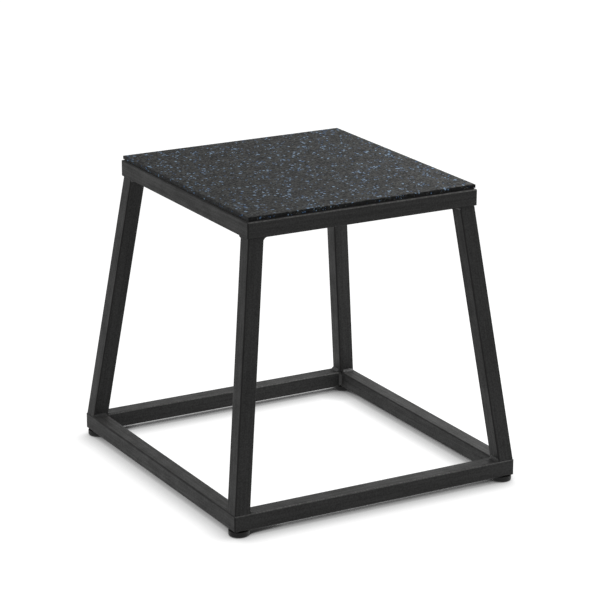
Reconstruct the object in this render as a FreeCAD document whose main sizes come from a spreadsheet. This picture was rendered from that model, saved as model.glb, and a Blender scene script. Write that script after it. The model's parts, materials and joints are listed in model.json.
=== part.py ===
import FreeCAD, Part
import math
import os
import Sketcher

# A jumping box: an open frame of square steel tube that carries a flecked rubber landing mat.
# Two mitred frames, a small one on top and a large one at the base, are joined by four leaning legs.
# Sizes are in millimetres. The origin is on the floor, under the middle of the box, with +Z up.
# The front of the box looks along -Y, and its left side along -X.

SIZES = {
    "total_height": 600,
    "top_width": 502,
    "top_depth": 535,
    "base_width": 626,
    "base_depth": 656,
    "tube_size": 33,
    "tube_wall": 2,
    "tube_edge_radius": 3,
    "tube_bore_radius": 1,
    "corner_radius": 3,
    "leg_inset_top": 3.5,
    "leg_inset_base": 1.5,
    "deck_thickness": 2,
    "deck_inset": 5,
    "mat_thickness": 7,
    "mat_inset": 3,
    "mat_edge_radius": 0.6,
    "foot_diameter": 40,
    "foot_height": 11,
    "foot_offset": 1.5,
    "foot_tread_radius": 3.5,
    "foot_shoulder_radius": 1,
    "washer_diameter": 14,
    "washer_thickness": 1.6,
    "washer_clearance": 1,
    "screw_diameter": 6,
    "screw_length": 16,
    "screw_head_diameter": 11,
    "screw_head_height": 3.6,
    "screw_head_radius": 1,
    "screw_head_gap": 1.8,
    "socket_width": 4,
    "socket_depth": 2,
    "screw_clearance": 0.4,
    "thread_clearance": 0.1,
    "insert_wall": 1.5,
    "insert_length": 12,
    "insert_flange_rim": 2.5,
    "insert_flange_thickness": 1,
    "insert_bulge": 1.5,
    "insert_bulge_height": 2.5,
    "insert_clearance": 0.1,
    "leg_weld": 6,
    "corner_weld": 5,
    "bar_weld": 4,
    "deck_weld": 5,
    "deck_weld_length": 30,
    "deck_weld_pitch": 240,
}

# The corners of the box: name, side along X, side along Y
CORNERS = [
    ("front_left", -1, -1),
    ("front_right", 1, -1),
    ("back_left", -1, 1),
    ("back_right", 1, 1),
]

# The sides of the box: name, turn about Z, outward direction along X and along Y
SIDES = [
    ("front", 0, 0, -1),
    ("back", 180, 0, 1),
    ("left", -90, -1, 0),
    ("right", 90, 1, 0),
]

# Levels above the floor
BASE_BOTTOM = "(sizes.foot_height + sizes.insert_flange_thickness)"
BASE_TOP = f"({BASE_BOTTOM} + sizes.tube_size)"
DECK_BOTTOM = "(sizes.total_height - sizes.mat_thickness - sizes.deck_thickness)"
MAT_BOTTOM = "(sizes.total_height - sizes.mat_thickness)"
TOP_BOTTOM = f"({DECK_BOTTOM} - sizes.tube_size)"

# Places that several pieces share
HALF_TUBE = "(sizes.tube_size / 2)"
TUBE_FLAT = "(sizes.tube_size - 2 * sizes.tube_edge_radius)"
FOOT_INSET = f"({HALF_TUBE} + sizes.foot_offset)"
FOOT_X = f"(sizes.base_width / 2 - {FOOT_INSET})"
FOOT_Y = f"(sizes.base_depth / 2 - {FOOT_INSET})"
RECESS_DIAMETER = "(sizes.washer_diameter + sizes.washer_clearance)"
WASHER_BOTTOM = "(sizes.screw_head_gap + sizes.screw_head_height)"
RECESS_DEPTH = f"({WASHER_BOTTOM} + sizes.washer_thickness)"
SCREW_HOLE = "(sizes.screw_diameter + sizes.screw_clearance)"
INSERT_DIAMETER = "(sizes.screw_diameter + 2 * sizes.insert_wall)"
LEG_RISE = f"({TOP_BOTTOM} - {BASE_TOP})"
LEG_BASE_X = f"(sizes.base_width / 2 - sizes.leg_inset_base - {HALF_TUBE})"
LEG_BASE_Y = f"(sizes.base_depth / 2 - sizes.leg_inset_base - {HALF_TUBE})"
LEG_TOP_X = f"(sizes.top_width / 2 - sizes.leg_inset_top - {HALF_TUBE})"
LEG_TOP_Y = f"(sizes.top_depth / 2 - sizes.leg_inset_top - {HALF_TUBE})"
TOP_INNER_X = "(sizes.top_width / 2 - sizes.tube_size)"
TOP_INNER_Y = "(sizes.top_depth / 2 - sizes.tube_size)"

# How far apart two lengths may be and still count as the same
SAME = 1e-3

X_AXIS = FreeCAD.Vector(1, 0, 0)
Y_AXIS = FreeCAD.Vector(0, 1, 0)
Z_AXIS = FreeCAD.Vector(0, 0, 1)

doc = FreeCAD.newDocument("jumping_box")
sheet = doc.addObject("Spreadsheet::Sheet", "sizes")
nodes = []


def fill_sheet():
    """Write the driving sizes, one row each, with their names as aliases."""
    for row, (name, value) in enumerate(SIZES.items(), start=1):
        sheet.set(f"A{row}", name)
        sheet.set(f"B{row}", str(value))
        sheet.setAlias(f"B{row}", name)
    doc.recompute()


def number(expression):
    """The present value of an expression on the size sheet."""
    return float(sheet.evalExpression(expression))


def node(item, label):
    """Keep an object as a sub-part under the name that its file gets."""
    item.Label = label
    nodes.append(item)
    return item


def place(item, x, y, z):
    """Bind the position of an object to the size sheet."""
    item.setExpression("Placement.Base.x", x)
    item.setExpression("Placement.Base.y", y)
    item.setExpression("Placement.Base.z", z)


def new_body(name):
    return doc.addObject("PartDesign::Body", name)


def origin_plane(body, role):
    return next(plane for plane in body.Origin.OriginFeatures if plane.Role == role)


def new_sketch(body, role, name):
    """A sketch on one of the body's own origin planes."""
    sketch = body.newObject("Sketcher::SketchObject", name)
    sketch.AttachmentSupport = [(origin_plane(body, role), "")]
    sketch.MapMode = "FlatFace"
    return sketch


def dimension(sketch, constraint, expression):
    """Add a dimension to a sketch and bind it to the size sheet."""
    index = sketch.addConstraint(constraint)
    sketch.setExpression(f"Constraints[{index}]", expression)


def pin_point(sketch, curve, end, x, y):
    """Dimension one end of a curve from the sketch's origin."""
    for kind, expression in (("DistanceX", x), ("DistanceY", y)):
        span = Sketcher.Constraint(kind, -1, 1, curve, end, number(expression))
        dimension(sketch, span, expression)


def outline(sketch, corners, arcs=()):
    """A closed outline through dimensioned corners. A curve that starts at a corner named in arcs
    is an arc about the given centre instead of a straight line."""
    points = [FreeCAD.Vector(number(x), number(y), 0) for x, y in corners]
    arcs = dict(arcs)
    curves = []
    for step, start in enumerate(points):
        end = points[(step + 1) % len(points)]
        if step in arcs:
            centre_x, centre_y, radius = arcs[step]
            centre = FreeCAD.Vector(number(centre_x), number(centre_y), 0)
            whole = Part.Circle(centre, Z_AXIS, number(radius))
            first = math.atan2(start.y - centre.y, start.x - centre.x)
            last = math.atan2(end.y - centre.y, end.x - centre.x)
            curves.append(Part.ArcOfCircle(whole, first, last))
        else:
            curves.append(Part.LineSegment(start, end))
    names = sketch.addGeometry(curves)
    for step, (x, y) in enumerate(corners):
        sketch.addConstraint(Sketcher.Constraint("Coincident", names[step - 1], 2, names[step], 1))
        pin_point(sketch, names[step], 1, x, y)
    for step, (_, _, radius) in arcs.items():
        size = Sketcher.Constraint("Radius", names[step], number(radius))
        dimension(sketch, size, radius)


def rectangle(sketch, width, depth):
    """A rectangle about the sketch's origin."""
    low_x, high_x = f"-{width} / 2", f"{width} / 2"
    low_y, high_y = f"-{depth} / 2", f"{depth} / 2"
    outline(sketch, [(low_x, low_y), (high_x, low_y), (high_x, high_y), (low_x, high_y)])


def circle(sketch, diameter, x=None, y=None):
    """A circle on the sketch's origin or, where x and y are given, about a dimensioned centre."""
    centre = FreeCAD.Vector(number(x), number(y), 0) if x else FreeCAD.Vector()
    ring = sketch.addGeometry(Part.Circle(centre, Z_AXIS, number(diameter) / 2))
    if x:
        pin_point(sketch, ring, 3, x, y)
    else:
        sketch.addConstraint(Sketcher.Constraint("Coincident", ring, 3, -1, 1))
    dimension(sketch, Sketcher.Constraint("Diameter", ring, number(diameter)), diameter)


def pad(body, sketch, length, side="One side"):
    feature = body.newObject("PartDesign::Pad", f"{body.Name}_pad")
    feature.Profile = sketch
    feature.SideType = side
    feature.setExpression("Length", length)
    doc.recompute()
    return feature


def cut_through(body, sketch, side="One side"):
    """Cut a sketch through all that lies below it, or on both sides of it."""
    feature = body.newObject("PartDesign::Pocket", f"{body.Name}_cut")
    feature.Profile = sketch
    feature.Type = "ThroughAll"
    feature.SideType = side
    before = body.Shape.Volume
    doc.recompute()
    if body.Shape.Volume >= before:
        raise RuntimeError(f"{sketch.Name} removes nothing")
    return feature


def revolve(body, sketch):
    """Turn a profile in the XZ plane about the vertical axis."""
    feature = body.newObject("PartDesign::Revolution", f"{body.Name}_turn")
    feature.Profile = sketch
    feature.ReferenceAxis = (sketch, ["V_Axis"])
    feature.Angle = 360
    doc.recompute()
    return feature


def round_edges(body, feature, radius, wanted):
    """Round the edges of a feature that pass the test."""
    names = [f"Edge{index}" for index, edge in enumerate(feature.Shape.Edges, start=1) if wanted(edge)]
    fillet = body.newObject("PartDesign::Fillet", f"{body.Name}_round")
    fillet.Base = (feature, names)
    fillet.setExpression("Radius", radius)
    doc.recompute()
    return fillet


def lies_along(edge, direction, reach):
    """Whether an edge is a line along a direction, at a given distance from that axis."""
    if not isinstance(edge.Curve, Part.Line):
        return False
    if edge.Curve.Direction.cross(direction).Length > SAME:
        return False
    return abs(edge.CenterOfMass.cross(direction).Length - reach) < SAME


def rims(level, diameter):
    """A test for the circular edge of a given size at a given height."""
    height = number(level)
    radius = number(diameter) / 2

    def wanted(edge):
        if not isinstance(edge.Curve, Part.Circle):
            return False
        return abs(edge.Curve.Radius - radius) < SAME and abs(edge.Curve.Center.z - height) < SAME

    return wanted


def tube(name, role, direction, length):
    """A square tube with rounded edges, centred on its middle, along one axis of its body."""
    body = new_body(name)
    section = new_sketch(body, role, f"{name}_section")
    bore = "(sizes.tube_size - 2 * sizes.tube_wall)"
    rectangle(section, "sizes.tube_size", "sizes.tube_size")
    rectangle(section, bore, bore)
    blank = pad(body, section, length, "Symmetric")
    outer = number("sizes.tube_size") / 2 * math.sqrt(2)
    inner = number(bore) / 2 * math.sqrt(2)
    rounded = round_edges(
        body,
        blank,
        "sizes.tube_edge_radius",
        lambda edge: lies_along(edge, direction, outer),
    )
    round_edges(
        body,
        rounded,
        "sizes.tube_bore_radius",
        lambda edge: lies_along(edge, direction, inner),
    )
    return body


def mitre_outline(sketch, length):
    """What is cut off the +X end of a rail: all beyond the mitre line, which runs inwards from the outer
    corner, and beyond the round that is ground on that corner. The outer face of the rail is at -Y."""
    end = f"({length} / 2)"
    spare = "sizes.tube_size"
    radius = "sizes.corner_radius"
    on_round = f"{radius} * (1 - sqrt(2) / 2)"
    corners = [
        (f"{end} - {radius}", f"-{HALF_TUBE}"),
        (f"{end} - {on_round}", f"-{HALF_TUBE} + {on_round}"),
        (f"{end} - 2 * {spare}", f"{HALF_TUBE} + {spare}"),
        (f"{end} + {spare}", f"{HALF_TUBE} + {spare}"),
        (f"{end} + {spare}", f"-{HALF_TUBE} - {spare}"),
        (f"{end} - {radius}", f"-{HALF_TUBE} - {spare}"),
    ]
    centre = (f"{end} - {radius}", f"-{HALF_TUBE} + {radius}", radius)
    outline(sketch, corners, {0: centre})


def rail(name, length, holds_feet):
    """A tube along X, mitred at both ends. A base rail also has its half of the hole for the threaded
    insert, which is drilled through the bottom wall on the mitre line."""
    body = tube(name, "YZ_Plane", X_AXIS, length)
    mitre = new_sketch(body, "XY_Plane", f"{name}_mitre")
    mitre_outline(mitre, length)
    cuts = [cut_through(body, mitre, "Symmetric")]
    if holds_feet:
        hole = new_sketch(body, "XY_Plane", f"{name}_hole")
        drilled = f"({INSERT_DIAMETER} + sizes.insert_clearance)"
        circle(hole, drilled, f"{length} / 2 - {FOOT_INSET}", f"-{HALF_TUBE} + {FOOT_INSET}")
        cuts.append(cut_through(body, hole))
    mirrored = body.newObject("PartDesign::Mirrored", f"{name}_other_end")
    mirrored.Originals = cuts
    mirrored.MirrorPlane = (origin_plane(body, "YZ_Plane"), [""])
    body.Tip = mirrored
    doc.recompute()
    return body


def make_frame(prefix, width, depth, bottom, holds_feet):
    """Four mitred rails."""
    for side, turn, out_x, out_y in SIDES:
        length = width if out_x == 0 else depth
        body = node(rail(f"{prefix}_rail_{side}", length, holds_feet), f"{prefix}_rail_{side}")
        body.Placement.Rotation = FreeCAD.Rotation(Z_AXIS, turn)
        place(
            body,
            f"{out_x} * ({width} / 2 - {HALF_TUBE})",
            f"{out_y} * ({depth} / 2 - {HALF_TUBE})",
            f"{bottom} + {HALF_TUBE}",
        )


def make_legs():
    """Four leaning tubes, cut level where they meet the two frames."""
    level = doc.addObject("Part::Box", "leg_level")
    level.setExpression("Length", "2 * sizes.base_width")
    level.setExpression("Width", "2 * sizes.base_depth")
    level.setExpression("Height", LEG_RISE)
    place(level, "-sizes.base_width", "-sizes.base_depth", BASE_TOP)
    lean = f"hypot({LEG_TOP_X} - {LEG_BASE_X}; {LEG_TOP_Y} - {LEG_BASE_Y})"
    stock_length = f"hypot({lean}; {LEG_RISE}) + 2 * sizes.tube_size"
    legs = {}
    for corner, side_x, side_y in CORNERS:
        stock = tube(f"leg_stock_{corner}", "XY_Plane", Z_AXIS, stock_length)
        middle_x = f"{side_x} * ({LEG_BASE_X} + {LEG_TOP_X}) / 2"
        middle_y = f"{side_y} * ({LEG_BASE_Y} + {LEG_TOP_Y}) / 2"
        middle_z = f"({BASE_TOP} + {TOP_BOTTOM}) / 2"
        lean_x = f"{side_x} * ({LEG_TOP_X} - {LEG_BASE_X})"
        lean_y = f"{side_y} * ({LEG_TOP_Y} - {LEG_BASE_Y})"
        centre = f"vector({middle_x}; {middle_y}; {middle_z})"
        tilt = f"rotation(vector(-1 * {lean_y}; {lean_x}; 0); atan({lean} / {LEG_RISE}))"
        stock.setExpression("Placement", f"placement({centre}; {tilt})")
        leg = doc.addObject("Part::Common", f"leg_{corner}")
        leg.Base = stock
        leg.Tool = level
        legs[corner] = node(leg, f"leg_{corner}")
    doc.recompute()
    return legs


def make_deck():
    """The steel sheet on the top rails, the bar under its middle and the mat on top of it."""
    plate = node(doc.addObject("Part::Box", "deck_plate"), "deck_plate")
    plate.setExpression("Length", "sizes.top_width - 2 * sizes.deck_inset")
    plate.setExpression("Width", "sizes.top_depth - 2 * sizes.deck_inset")
    plate.setExpression("Height", "sizes.deck_thickness")
    place(
        plate,
        "sizes.deck_inset - sizes.top_width / 2",
        "sizes.deck_inset - sizes.top_depth / 2",
        DECK_BOTTOM,
    )
    bar = node(tube("deck_bar", "XZ_Plane", Y_AXIS, f"2 * {TOP_INNER_Y}"), "deck_bar")
    place(bar, "0", "0", f"{TOP_BOTTOM} + {HALF_TUBE}")

    mat = node(new_body("rubber_top"), "rubber_top")
    shape = new_sketch(mat, "XY_Plane", "mat_shape")
    width = "(sizes.top_width - 2 * sizes.mat_inset)"
    depth = "(sizes.top_depth - 2 * sizes.mat_inset)"
    rectangle(shape, width, depth)
    sheet_rubber = pad(mat, shape, "sizes.mat_thickness")
    upper = number("sizes.mat_thickness")
    round_edges(
        mat,
        sheet_rubber,
        "sizes.mat_edge_radius",
        lambda edge: edge.BoundBox.ZMin > upper - SAME,
    )
    place(mat, "0", "0", MAT_BOTTOM)


def foot_body(name):
    """A round bumper with a rounded tread, and a recess under it for its screw and washer."""
    body = new_body(name)
    profile = new_sketch(body, "XZ_Plane", f"{name}_profile")
    outer = "sizes.foot_diameter / 2"
    recess = f"{RECESS_DIAMETER} / 2"
    hole = f"{SCREW_HOLE} / 2"
    outline(
        profile,
        [
            (recess, "0"),
            (outer, "0"),
            (outer, "sizes.foot_height"),
            (hole, "sizes.foot_height"),
            (hole, RECESS_DEPTH),
            (recess, RECESS_DEPTH),
        ],
    )
    blank = revolve(body, profile)
    tread = round_edges(body, blank, "sizes.foot_tread_radius", rims("0", "sizes.foot_diameter"))
    shoulder = rims("sizes.foot_height", "sizes.foot_diameter")
    round_edges(body, tread, "sizes.foot_shoulder_radius", shoulder)
    return body


def washer_body(name):
    """A plain washer, standing on its own bottom face."""
    body = new_body(name)
    ring = new_sketch(body, "XY_Plane", f"{name}_ring")
    circle(ring, "sizes.washer_diameter")
    circle(ring, SCREW_HOLE)
    pad(body, ring, "sizes.washer_thickness")
    return body


def screw_body(name):
    """A round-headed screw with a hexagon socket, its head below the XY plane and its shank above."""
    body = new_body(name)
    profile = new_sketch(body, "XZ_Plane", f"{name}_profile")
    head = "sizes.screw_head_diameter / 2"
    shank = "sizes.screw_diameter / 2"
    outline(
        profile,
        [
            ("0", "-sizes.screw_head_height"),
            (head, "-sizes.screw_head_height"),
            (head, "0"),
            (shank, "0"),
            (shank, "sizes.screw_length"),
            ("0", "sizes.screw_length"),
        ],
    )
    blank = revolve(body, profile)
    head_rim = rims("-sizes.screw_head_height", "sizes.screw_head_diameter")
    round_edges(body, blank, "sizes.screw_head_radius", head_rim)
    socket = new_sketch(body, "XY_Plane", f"{name}_socket")
    socket.setExpression("AttachmentOffset.Base.z", "sizes.socket_depth - sizes.screw_head_height")
    reach = "sizes.socket_width / sqrt(3)"
    turns = [f"({corner} * 60 deg)" for corner in range(6)]
    outline(socket, [(f"{reach} * cos({turn})", f"{reach} * sin({turn})") for turn in turns])
    cut_through(body, socket)
    return body


def insert_body(name):
    """A threaded insert: a flange under the tube's bottom wall, a body through the drilled hole, and the
    bulge that grips the wall from inside. The flange's lower face is on the XY plane."""
    body = new_body(name)
    profile = new_sketch(body, "XZ_Plane", f"{name}_profile")
    bore = "(sizes.screw_diameter + sizes.thread_clearance) / 2"
    shank = f"{INSERT_DIAMETER} / 2"
    flange = f"({shank} + sizes.insert_flange_rim)"
    bulge = f"({shank} + sizes.insert_bulge)"
    wall_bottom = "sizes.insert_flange_thickness"
    wall_top = f"({wall_bottom} + sizes.tube_wall)"
    bulge_top = f"({wall_top} + sizes.insert_bulge_height)"
    end = f"({wall_bottom} + sizes.insert_length)"
    outline(
        profile,
        [
            (bore, "0"),
            (flange, "0"),
            (flange, wall_bottom),
            (shank, wall_bottom),
            (shank, wall_top),
            (bulge, wall_top),
            (bulge, bulge_top),
            (shank, bulge_top),
            (shank, end),
            (bore, end),
        ],
    )
    revolve(body, profile)
    return body


def make_feet():
    """Four feet, each held by a screw and a washer in a threaded insert in the base corner."""
    hardware = {"foot_washers": [], "foot_screws": [], "foot_inserts": []}
    for corner, side_x, side_y in CORNERS:
        x = f"{side_x} * {FOOT_X}"
        y = f"{side_y} * {FOOT_Y}"
        foot = node(foot_body(f"foot_{corner}"), f"foot_{corner}")
        place(foot, x, y, "0")
        washer = washer_body(f"washer_{corner}")
        place(washer, x, y, WASHER_BOTTOM)
        hardware["foot_washers"].append(washer)
        screw = screw_body(f"screw_{corner}")
        place(screw, x, y, WASHER_BOTTOM)
        hardware["foot_screws"].append(screw)
        insert = insert_body(f"insert_{corner}")
        place(insert, x, y, "sizes.foot_height")
        hardware["foot_inserts"].append(insert)
    for label, members in hardware.items():
        group(label, members)


def group(label, members):
    """One sub-part of several alike solids."""
    together = doc.addObject("Part::Compound", label)
    together.Links = members
    return node(together, label)


def bead(name, size, length, first, second, overlap="0"):
    """A fillet weld as a three-sided bar about the corner line where two faces meet. It lies on one face
    along the first direction and on the other along the second, and may reach back past the corner."""
    wedge = doc.addObject("Part::Wedge", name)
    bounds = {
        "Xmin": f"-1 * {overlap}",
        "Xmax": size,
        "X2min": f"-1 * {overlap}",
        "X2max": "0",
        "Ymin": "0",
        "Ymax": size,
        "Zmin": f"-{length} / 2",
        "Zmax": f"{length} / 2",
        "Z2min": f"-{length} / 2",
        "Z2max": f"{length} / 2",
    }
    for side, expression in bounds.items():
        wedge.setExpression(side, expression)
    wedge.Placement.Rotation = FreeCAD.Rotation(first, second, first.cross(second), "ZXY")
    return wedge


def leg_beads(label, legs, reach_x, reach_y, edge_x, edge_y, level, upright):
    """Beads along the two inner faces of every leg, against the flat of a rail. They reach into the
    leg's wall and are cut back to its face."""
    beads = []
    overlap = "sizes.tube_wall / 2"
    for corner, side_x, side_y in CORNERS:
        inner_x = f"{side_x} * ({reach_x} - {HALF_TUBE})"
        inner_y = f"{side_y} * ({reach_y} - {HALF_TUBE})"
        rail_x = f"{side_x} * ({edge_x} - {HALF_TUBE})"
        rail_y = f"{side_y} * ({edge_y} - {HALF_TUBE})"
        runs = [
            ("x", X_AXIS * -side_x, inner_x, rail_y),
            ("y", Y_AXIS * -side_y, rail_x, inner_y),
        ]
        for face, away, x, y in runs:
            name = f"{label}_{corner}_{face}"
            raw = bead(f"{name}_raw", "sizes.leg_weld", TUBE_FLAT, away, Z_AXIS * upright, overlap)
            place(raw, x, y, level)
            trimmed = doc.addObject("Part::Cut", name)
            trimmed.Base = raw
            trimmed.Tool = legs[corner]
            beads.append(trimmed)
    group(label, beads)


def corner_beads(label, half_width, half_depth, bottom):
    """Upright beads in the inner mitre corners of a frame."""
    beads = []
    for corner, side_x, side_y in CORNERS:
        away_x = X_AXIS * -side_x
        away_y = Y_AXIS * -side_y
        upright = bead(f"{label}_{corner}", "sizes.corner_weld", TUBE_FLAT, away_x, away_y)
        place(
            upright,
            f"{side_x} * ({half_width} - sizes.tube_size)",
            f"{side_y} * ({half_depth} - sizes.tube_size)",
            f"{bottom} + {HALF_TUBE}",
        )
        beads.append(upright)
    group(label, beads)


def bar_beads():
    """Upright beads on both sides of the deck bar's two ends."""
    beads = []
    for corner, side_x, side_y in CORNERS:
        away_x = X_AXIS * side_x
        away_y = Y_AXIS * -side_y
        upright = bead(f"bar_bead_{corner}", "sizes.bar_weld", TUBE_FLAT, away_x, away_y)
        place(
            upright,
            f"{side_x} * {HALF_TUBE}",
            f"{side_y} * {TOP_INNER_Y}",
            f"{TOP_BOTTOM} + {HALF_TUBE}",
        )
        beads.append(upright)
    group("deck_bar_welds", beads)


def deck_beads():
    """Two short beads on each top rail, under the edge of the sheet."""
    beads = []
    for side, _, out_x, out_y in SIDES:
        inward = FreeCAD.Vector(-out_x, -out_y, 0)
        for half in (-1, 1):
            along = f"{half} * sizes.deck_weld_pitch / 2"
            name = f"deck_bead_{side}_{'low' if half < 0 else 'high'}"
            stitch = bead(name, "sizes.deck_weld", "sizes.deck_weld_length", inward, -Z_AXIS)
            x = f"{out_x} * {TOP_INNER_X}" if out_x else along
            y = f"{out_y} * {TOP_INNER_Y}" if out_y else along
            place(stitch, x, y, DECK_BOTTOM)
            beads.append(stitch)
    group("deck_welds", beads)


def make_welds(legs):
    leg_beads(
        "leg_base_welds",
        legs,
        LEG_BASE_X,
        LEG_BASE_Y,
        "sizes.base_width / 2",
        "sizes.base_depth / 2",
        BASE_TOP,
        1,
    )
    leg_beads(
        "leg_head_welds",
        legs,
        LEG_TOP_X,
        LEG_TOP_Y,
        "sizes.top_width / 2",
        "sizes.top_depth / 2",
        TOP_BOTTOM,
        -1,
    )
    corner_beads("base_corner_welds", "sizes.base_width / 2", "sizes.base_depth / 2", BASE_BOTTOM)
    corner_beads("top_corner_welds", "sizes.top_width / 2", "sizes.top_depth / 2", TOP_BOTTOM)
    bar_beads()
    deck_beads()


def check_model():
    """Stop unless every object was made and every sub-part is a sound shape."""
    for item in doc.Objects:
        if "Invalid" in item.State or "Error" in item.State:
            raise RuntimeError(f"{item.Label} failed: {item.State}")
    for item in nodes:
        shape = item.Shape
        if shape.isNull() or not shape.isValid() or not shape.Solids:
            raise RuntimeError(f"{item.Label} has no sound shape")


def write_parts():
    os.makedirs("parts", exist_ok=True)
    for item in nodes:
        item.Shape.exportStep(f"parts/{item.Label}.step")
        print(f"{item.Label}: {len(item.Shape.Solids)} solids, {item.Shape.Volume:.1f} mm3")


fill_sheet()
make_frame("base", "sizes.base_width", "sizes.base_depth", BASE_BOTTOM, True)
make_frame("top", "sizes.top_width", "sizes.top_depth", TOP_BOTTOM, False)
frame_legs = make_legs()
make_deck()
make_feet()
make_welds(frame_legs)
doc.recompute()
check_model()
write_parts()
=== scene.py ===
# %% [markdown]
# # Dressing an open-framed plyo box
# The box is a training step to jump onto: a welded frame of square steel tube, sprayed with black powder
# coat, a steel deck with a mat of flecked crumb rubber, and four rubber feet.
# The solids come ready made at their real size. Here they get their finishes, and the two pieces that a
# machine shop can't draw well, the rubber mat and the weld beads, are modelled again as meshes.

# %% Load the solids
import json
import math

import bmesh
import bpy
from mathutils import Matrix, Vector


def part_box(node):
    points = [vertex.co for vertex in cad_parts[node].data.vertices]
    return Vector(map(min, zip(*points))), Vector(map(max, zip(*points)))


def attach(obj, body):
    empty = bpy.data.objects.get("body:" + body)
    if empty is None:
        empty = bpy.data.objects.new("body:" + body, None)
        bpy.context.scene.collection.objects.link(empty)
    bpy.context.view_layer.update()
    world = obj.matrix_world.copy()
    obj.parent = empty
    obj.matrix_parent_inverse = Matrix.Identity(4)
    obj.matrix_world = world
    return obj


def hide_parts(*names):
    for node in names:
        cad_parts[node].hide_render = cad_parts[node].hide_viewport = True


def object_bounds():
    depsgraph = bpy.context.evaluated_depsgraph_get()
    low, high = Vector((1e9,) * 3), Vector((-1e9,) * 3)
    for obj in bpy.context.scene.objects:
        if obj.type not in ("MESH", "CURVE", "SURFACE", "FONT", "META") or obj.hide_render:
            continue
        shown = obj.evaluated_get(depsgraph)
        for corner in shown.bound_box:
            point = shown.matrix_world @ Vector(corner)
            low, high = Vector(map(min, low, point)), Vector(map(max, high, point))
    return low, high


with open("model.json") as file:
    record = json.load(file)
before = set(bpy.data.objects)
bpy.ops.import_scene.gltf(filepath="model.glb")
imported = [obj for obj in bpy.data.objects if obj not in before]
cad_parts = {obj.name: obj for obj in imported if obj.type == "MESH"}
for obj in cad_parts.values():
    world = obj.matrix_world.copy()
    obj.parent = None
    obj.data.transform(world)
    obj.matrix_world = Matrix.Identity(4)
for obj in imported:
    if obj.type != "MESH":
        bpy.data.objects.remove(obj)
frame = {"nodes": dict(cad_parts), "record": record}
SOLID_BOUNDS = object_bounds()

MM = 0.001
scene = bpy.context.scene
print("solids loaded:", len(frame["nodes"]), "nodes, box", SOLID_BOUNDS)

# %% [markdown]
# ## The camera
# The photograph was taken with a long lens from a few metres away, a little above the deck. A long lens
# keeps the upright edges nearly parallel. The place, turn and lens were worked out from where the corners
# of the two frames fall in the picture, so the render can be laid over it.
# A camera looks down its own -Z axis, so it is first raised to look along +Y, then turned and rolled.

# %% Set up the camera
CAMERA_PLACE = (-2.3939, -4.2511, 1.8604)
CAMERA_TURN = math.radians(-29.494)
CAMERA_DROP = math.radians(17.394)
CAMERA_ROLL = math.radians(0.190)
LENS_MM = 153.88
SENSOR_MM = 36.0

bpy.ops.object.select_all(action="DESELECT")
bpy.ops.object.camera_add(location=CAMERA_PLACE)
camera = bpy.context.object
camera.name = "photo_camera"
camera.data.lens = LENS_MM
camera.data.sensor_width = SENSOR_MM
turn = Matrix.Rotation(CAMERA_TURN, 4, "Z")
raise_up = Matrix.Rotation(math.radians(90) - CAMERA_DROP, 4, "X")
roll = Matrix.Rotation(CAMERA_ROLL, 4, "Z")
camera.matrix_world = Matrix.Translation(CAMERA_PLACE) @ turn @ raise_up @ roll
scene.camera = camera
scene.view_settings.view_transform = "Standard"
box_middle = (Vector(SOLID_BOUNDS[0]) + Vector(SOLID_BOUNDS[1])) / 2
print("camera", round((camera.location - box_middle).length, 2), "m from the box")

# %% [markdown]
# ## Helpers for shader nodes
# A material is a small network of nodes. Adding a node, setting it and wiring it takes several lines each
# time, so these helpers do that in one call. A feed is either a plain value or another node's output.

# %% Node helpers
def add_node(tree, kind, feeds=None, **settings):
    """Adds a node, sets its properties, and gives its inputs values or links, by name or number."""
    node = tree.nodes.new(kind)
    for name, value in settings.items():
        setattr(node, name, value)
    for socket, value in (feeds or {}).items():
        if isinstance(value, bpy.types.NodeSocket):
            tree.links.new(value, node.inputs[socket])
        else:
            node.inputs[socket].default_value = value
    return node


def calculate(tree, operation, first, second=0.0):
    """The result of a sum on two numbers."""
    node = add_node(tree, "ShaderNodeMath", {0: first, 1: second}, operation=operation)
    return node.outputs[0]


def spread(tree, value, from_low, from_high, to_low=0.0, to_high=1.0):
    """A number moved from one range to another, with soft ends."""
    feeds = {"Value": value, "From Min": from_low, "From Max": from_high}
    feeds.update({"To Min": to_low, "To Max": to_high})
    node = add_node(tree, "ShaderNodeMapRange", feeds, interpolation_type="SMOOTHSTEP")
    return node.outputs["Result"]


def blend(tree, amount, first, second):
    """A colour between two others."""
    node = add_node(tree, "ShaderNodeMix", data_type="RGBA")
    for name, value in (("Factor", amount), ("A", first), ("B", second)):
        sockets = [s for s in node.inputs if s.name == name and s.enabled]
        if isinstance(value, bpy.types.NodeSocket):
            tree.links.new(value, sockets[0])
        else:
            sockets[0].default_value = value
    return [s for s in node.outputs if s.enabled][0]


def tint(red, green, blue):
    return (red, green, blue, 1.0)


print("node helpers ready")

# %% [markdown]
# ## The studio floor
# A product photograph stands on a pale sweep that is lit until it is white, and only the soft shadow where
# the object comes near it is left. A white plane alone would go grey under the deck, so the rays that show
# the floor, to the camera or in a reflection, see it glow white. For the camera, two occlusion nodes hold
# that glow back: one softly all round the frame, and one sharply right under the rails. Each looks along a
# leaning direction, because the shadow is longer on some sides than on others. A glow of 1 is white, and
# it never goes above that. The light that bounces up to the box comes from the plain matt floor.

# %% Make the floor
FLOOR_SIZE = 60.0
FLOOR_BOUNCE = tint(0.84, 0.84, 0.84)
FLOOR_SEEN = tint(0.20, 0.20, 0.20)
FLOOR_WHITE = 1.0
SHADOW_REACH = 0.062
SHADOW_LEAN = (0.19, 0.22, 1.0)
SHADOW_GAIN = 1.12
CONTACT_REACH = 0.075
CONTACT_LEAN = (-1.2, -0.97, 1.0)
CONTACT_RANGE = (0.46, 0.56)
CONTACT_DARKEST = 0.09
SHADOW_SAMPLES = 16
CONTACT_SAMPLES = 48


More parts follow.
